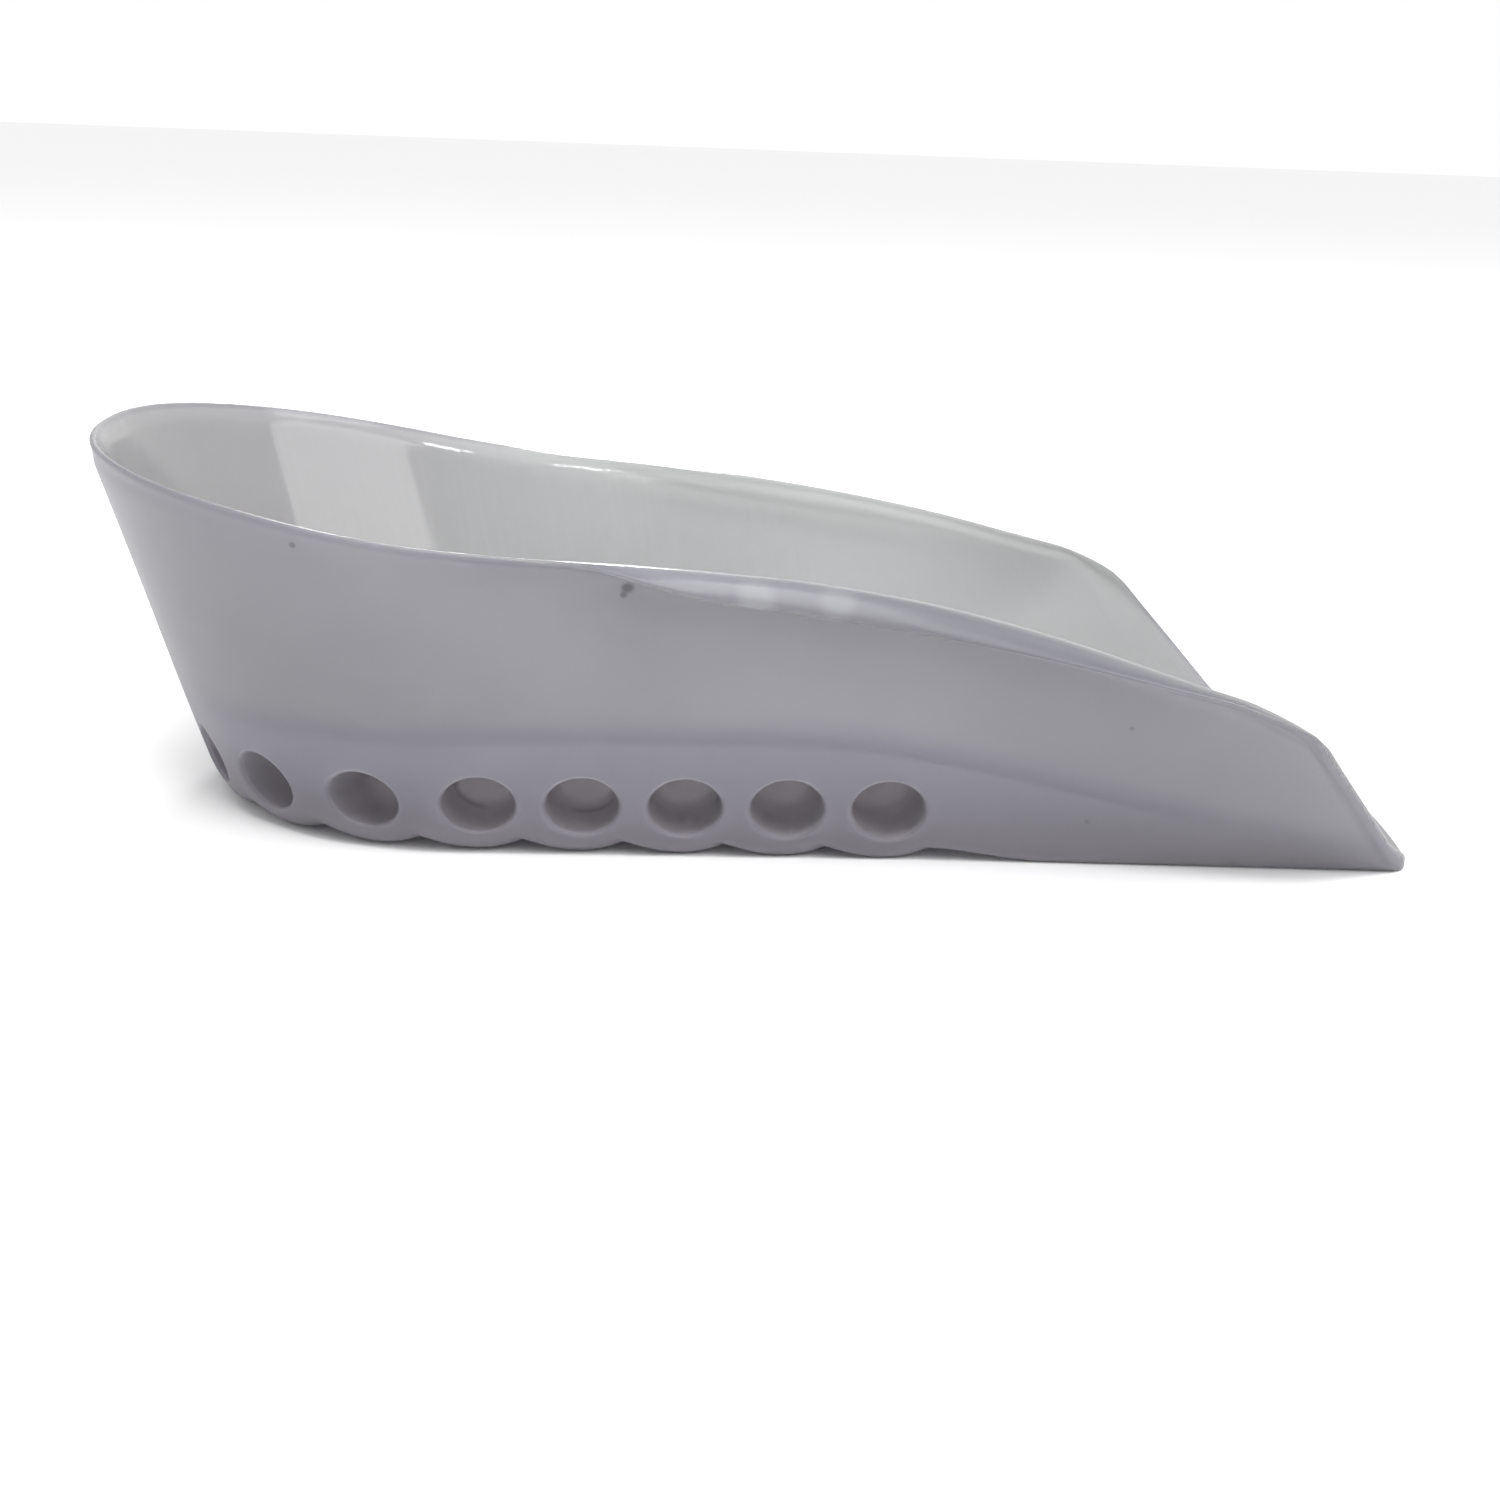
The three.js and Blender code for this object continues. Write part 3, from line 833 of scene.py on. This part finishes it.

# %% [markdown]
# The wall inside is painted palest beside the foot's arch, and darker at the heel and again towards
# the front: painted light where the lamps reach the middle of the cup least, and painted shade where
# they light its ends most. It is polished at the heel and duller towards the front, so only the heel
# mirrors the lights. Each tone could be a material of its own, but then their borders would show.
# Here one gives way to the next along the cup.

# %% Tones of the inner skin, with painted light and shade
# Stretches in mm along X, from the cup's middle, in which one tone gives way to the next.
HEEL_TO_ARCH = (-45, -12)
ARCH_TO_FRONT = (8, 45)
LIP_TO_FRONT = (-5, 15)
arch = {"Value": along_x, "From Min": HEEL_TO_ARCH[0] * MM, "From Max": HEEL_TO_ARCH[1] * MM}
front = {"Value": along_x, "From Min": ARCH_TO_FRONT[0] * MM, "From Max": ARCH_TO_FRONT[1] * MM}
lip_end = {"Value": along_x, "From Min": LIP_TO_FRONT[0] * MM, "From Max": LIP_TO_FRONT[1] * MM}
arch_painted_light = add_node(tree, "ShaderNodeMapRange", SMOOTH, arch).outputs[0]
front_painted_shade = add_node(tree, "ShaderNodeMapRange", SMOOTH, front).outputs[0]
lip_end_share = add_node(tree, "ShaderNodeMapRange", SMOOTH, lip_end).outputs[0]

# Painted light makes the arch paler than the heel, and painted shade makes the front darker.
heel_and_arch = {0: arch_painted_light, 6: linear("#9D9C9C"), 7: linear("#B3B5B3")}
inside = add_node(tree, "ShaderNodeMix", COLOUR, heel_and_arch).outputs[2]
with_front = {0: front_painted_shade, 6: inside, 7: linear("#898A89")}
inside = add_node(tree, "ShaderNodeMix", COLOUR, with_front).outputs[2]
lip_tones = {0: lip_end_share, 6: linear("#95959C"), 7: linear("#828289")}
lip = add_node(tree, "ShaderNodeMix", COLOUR, lip_tones).outputs[2]
with_lip = {0: marks["rolled_lip"], 6: inside, 7: lip}
inside = add_node(tree, "ShaderNodeMix", COLOUR, with_lip).outputs[2]
print("the tones inside change over", [b - a for a, b in (HEEL_TO_ARCH, ARCH_TO_FRONT)], "mm")

# %% Gloss of both skins
POLISHED_TO_DULL = (-20, 10)  # mm along X, from the cup's middle
POLISHED, DULL = 0.13, 0.26
OUTSIDE_ROUGHNESS = 0.4
dulling = {"Value": along_x, "To Min": POLISHED, "To Max": DULL}
dulling["From Min"], dulling["From Max"] = [v * MM for v in POLISHED_TO_DULL]
inside_gloss = add_node(tree, "ShaderNodeMapRange", SMOOTH, dulling).outputs[0]
both_skins = {0: inner, 2: OUTSIDE_ROUGHNESS, 3: inside_gloss}
gloss = add_node(tree, "ShaderNodeMix", {"data_type": "FLOAT"}, both_skins).outputs[0]
print("the inner skin's roughness goes from", POLISHED, "to", DULL)

# %% [markdown]
# Outside, the tone wanders a little, because the silicone isn't equally mixed. It could be painted
# by hand, but a soft noise has no pattern that the eye finds. The thick sole is darker and cooler,
# and painted shade makes it darkest near the ground.

# %% Colour of the outer skin
MOTTLE = 9  # mm from one paler patch to the next
DARK_AT, FULL_AT = 1, 9  # mm above the ground, from the darkest painted shade to none
mottle = {"Vector": coordinates.outputs["Object"], "Scale": 1 / (MOTTLE * MM), "Detail": 2}
patches = add_node(tree, "ShaderNodeTexNoise", {}, mottle).outputs[0]
wall_tones = {0: patches, 6: linear("#99989D"), 7: linear("#8F8E95")}
outside = add_node(tree, "ShaderNodeMix", COLOUR, wall_tones).outputs[2]
# Painted shade: the outer sole gets darker towards the ground.
near_ground = {"Value": above_floor, "From Min": DARK_AT * MM, "From Max": FULL_AT * MM}
ground_shade = add_node(tree, "ShaderNodeMapRange", SMOOTH, near_ground).outputs[0]
sole_tones = {0: ground_shade, 6: linear("#7F7B84"), 7: linear("#8A8994")}
sole_outside = add_node(tree, "ShaderNodeMix", COLOUR, sole_tones).outputs[2]
sole_skins = {0: inner, 6: sole_outside, 7: linear("#9A999C")}
sole = add_node(tree, "ShaderNodeMix", COLOUR, sole_skins).outputs[2]
wall = add_node(tree, "ShaderNodeMix", COLOUR, {0: inner, 6: outside, 7: inside}).outputs[2]
wall_and_sole = {0: marks["silicone_depth"], 6: wall, 7: sole}
tint = add_node(tree, "ShaderNodeMix", COLOUR, wall_and_sole).outputs[2]
print("the patches are", MOTTLE, "mm apart")

# %% [markdown]
# A pocket isn't a dark hole: light reaches it through the silicone round it. A light inside it would
# show that too, but it would shine through to the other side. So the pocket is painted paler from
# its mouth to its end, painted light in place of what comes through the silicone. A painted
# highlight draws the thin line where its upper rim catches the light, and the cup's edges are a
# little darker in a thin line.

# %% Pockets with painted light, and edges
EDGE_STRENGTH = 0.45
RIM_HIGHLIGHT_STRENGTH = 0.6
# Painted light: a pocket is paler towards its end.
pocket_light = {0: marks["pocket"], 6: tint, 7: linear("#D8D3D9")}
tint = add_node(tree, "ShaderNodeMix", COLOUR, pocket_light).outputs[2]
# Painted highlight along the upper rim of each pocket's mouth.
rim_highlight_line = {0: marks["pocket_rim_highlight"], 1: RIM_HIGHLIGHT_STRENGTH}
rim_highlight_share = add_node(tree, "ShaderNodeMath", {"operation": "MULTIPLY"}, rim_highlight_line).outputs[0]
on_rim_highlight = {0: rim_highlight_share, 6: tint, 7: linear("#BDBBC0")}
tint = add_node(tree, "ShaderNodeMix", COLOUR, on_rim_highlight).outputs[2]
edge_line = {0: marks["edge_line"], 1: EDGE_STRENGTH}
edge_share = add_node(tree, "ShaderNodeMath", {"operation": "MULTIPLY"}, edge_line).outputs[0]
on_edge = {0: edge_share, 6: tint, 7: linear("#6A6870")}
tint = add_node(tree, "ShaderNodeMix", COLOUR, on_edge).outputs[2]
print("edges are darkened by", EDGE_STRENGTH)

# %% [markdown]
# The moulding has a nick below the rim and three specks of dirt in its wall. They could be modelled
# as dents, but they show as darker places and not as hollows, so they are drawn in the colour. Two
# paler places on the rolled lip are painted highlights, soft reflections drawn in the colour too.

# %% Small flaws and painted highlights
SPOT_CORE = 0.3  # share of a spot's radius that has its full strength
# Place in mm from the cup's middle, radius in mm, strength and colour.
FLAWS_AND_HIGHLIGHTS = [
    ((-11.1, -26.9, 22.9), 0.7, 0.8, "#4E4C50"),
    ((-11.4, -26.7, 22.3), 0.4, 0.7, "#4E4C50"),
    ((-35.8, -30.6, 26.3), 0.35, 0.6, "#4E4C50"),
    ((28.4, -28.6, 12.9), 0.3, 0.6, "#4E4C50"),
    ((26.3, -25.0, 4.1), 0.3, 0.5, "#4E4C50"),
    # Two painted highlights: soft reflections on the rolled lip.
    ((-1.4, -28.6, 22.7), 2.0, 0.35, "#B4B6B9"),
    ((4.9, -28.2, 22.5), 2.0, 0.3, "#B4B6B9"),
]
for spot, radius, strength, colour in FLAWS_AND_HIGHLIGHTS:
    ends = {0: coordinates.outputs["Object"], 1: [v * MM for v in spot]}
    away = add_node(tree, "ShaderNodeVectorMath", {"operation": "DISTANCE"}, ends).outputs["Value"]
    fade = {"Value": away, "From Min": SPOT_CORE * radius * MM, "From Max": radius * MM}
    fade.update({"To Min": strength, "To Max": 0.0})
    share = add_node(tree, "ShaderNodeMapRange", SMOOTH, fade).outputs[0]
    on_spot = {0: share, 6: tint, 7: linear(colour)}
    tint = add_node(tree, "ShaderNodeMix", COLOUR, on_spot).outputs[2]
print(len(FLAWS_AND_HIGHLIGHTS), "small flaws")

# %% [markdown]
# Fine upright streaks on the inner skin are the traces of the mould's polishing. Cutting them into
# the mesh would take many more faces for a few hundredths of a millimetre, so they are a bump. They
# run up the wall, so they follow the grid's own map: one way is round the cup, the other across a
# section.

# %% Streaks of the inner skin
STREAK_SPACING = 1.3  # mm
STREAK_DEPTH = 0.03  # mm
STREAK_BREAKS = 3  # how often a streak changes on its way across a section
streaks_round = 2 * EDGE_LENGTH / STREAK_SPACING
stretch = {0: coordinates.outputs["UV"], 1: (streaks_round, STREAK_BREAKS, 0)}
along_wall = add_node(tree, "ShaderNodeVectorMath", {"operation": "MULTIPLY"}, stretch).outputs[0]
lines = {"Vector": along_wall, "Scale": 1.0, "Detail": 1.5}
streaks = add_node(tree, "ShaderNodeTexNoise", {"noise_dimensions": "2D"}, lines).outputs[0]
relief = {"Strength": inner, "Distance": STREAK_DEPTH * MM, "Height": streaks}
bump = add_node(tree, "ShaderNodeBump", {}, relief).outputs["Normal"]
print("about", round(streaks_round), "streaks")

# %% [markdown]
# Silicone rubber bends light with an index of 1.41. A good part of the light goes through it, and
# the rest scatters below the skin for a few millimetres. As clear glass the cup would show every
# edge behind it, and as a plain surface it would look like painted plastic, so it is about half
# of each.

# %% The finished silicone
SCATTER = 3  # mm that light travels below the skin
finish = {
    "Base Color": tint,
    "Roughness": gloss,
    "IOR": 1.41,
    "Transmission Weight": 0.42,
    "Subsurface Weight": 0.5,
    "Subsurface Radius": (1.0, 1.0, 1.1),
    "Subsurface Scale": SCATTER * MM,
    "Normal": bump,
}
shader = add_node(tree, "ShaderNodeBsdfPrincipled", {}, finish).outputs["BSDF"]
add_node(tree, "ShaderNodeOutputMaterial", {}, {"Surface": shader})
cup.data.materials.append(silicone)
print("the silicone has", len(tree.nodes), "nodes")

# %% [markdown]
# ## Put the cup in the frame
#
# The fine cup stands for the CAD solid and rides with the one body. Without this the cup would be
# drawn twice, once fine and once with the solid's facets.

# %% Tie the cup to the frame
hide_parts("heel_cup")
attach(cup, "root")
print("the cup stands for heel_cup")

# %% [markdown]
# ## The studio
#
# A pale floor and a white room give the cup its even greys. A curved backdrop would do the same
# from the front, but a wide flat floor looks alike from every side.

# %% Floor
FLOOR_SIZE = 30  # metres
FLOOR_DROP = 0.05  # mm, so that the floor doesn't share the plane of the cup's underside
bpy.ops.object.select_all(action="DESELECT")
bpy.ops.mesh.primitive_plane_add(size=FLOOR_SIZE, location=(0, 0, -FLOOR_DROP * MM))
studio_floor = bpy.context.object
studio_floor.name = "studio_floor"
paper = bpy.data.materials.new("white_paper")
paper.use_nodes = True
paper_shader = paper.node_tree.nodes["Principled BSDF"]
paper_shader.inputs["Base Color"].default_value = linear("#F4F4F4")
paper_shader.inputs["Roughness"].default_value = 0.8
studio_floor.data.materials.append(paper)
print("the floor is", FLOOR_SIZE, "m across")

# %% [markdown]
# Three area lights do the rest. A wide one at the front right shows as the pale band inside the
# heel. A small one above and a small one behind draw the bright spots on the far rim and the thin
# white line where the near rim starts to roll. One big soft light would draw none of these.

# %% Lights
LIT_PLACE = Vector((0, 0, 15)) * MM


def add_light(name, direction, distance, size, power):
    bpy.ops.object.select_all(action="DESELECT")
    bpy.ops.object.light_add(type="AREA")
    light = bpy.context.object
    light.name = name
    light.data.shape = "RECTANGLE"
    light.data.size, light.data.size_y = size
    light.data.energy = power
    aim = Vector(direction).normalized()
    light.location = LIT_PLACE + aim * distance
    light.rotation_euler = aim.to_track_quat("Z", "Y").to_euler()


def towards(bearing, height):
    """Direction to a light: bearing from +X towards +Y, and height above the floor, in degrees."""
    a, b = math.radians(bearing), math.radians(height)
    return math.cos(a) * math.cos(b), math.sin(a) * math.cos(b), math.sin(b)


add_light("wide_right", towards(-42, 47), 0.8, (1.0, 0.4), 5.2)
add_light("small_top", towards(-108, 62), 0.9, (0.2, 0.14), 2.6)
add_light("small_back", towards(90, 32), 0.9, (0.2, 0.1), 2.0)
world = bpy.data.worlds.new("white_room")
bpy.context.scene.world = world
world.use_nodes = True
world.node_tree.nodes["Background"].inputs["Color"].default_value = (1, 1, 1, 1)
world.node_tree.nodes["Background"].inputs["Strength"].default_value = 1.0
bpy.context.scene.view_settings.view_transform = "Standard"
print("three soft lights and a white room")
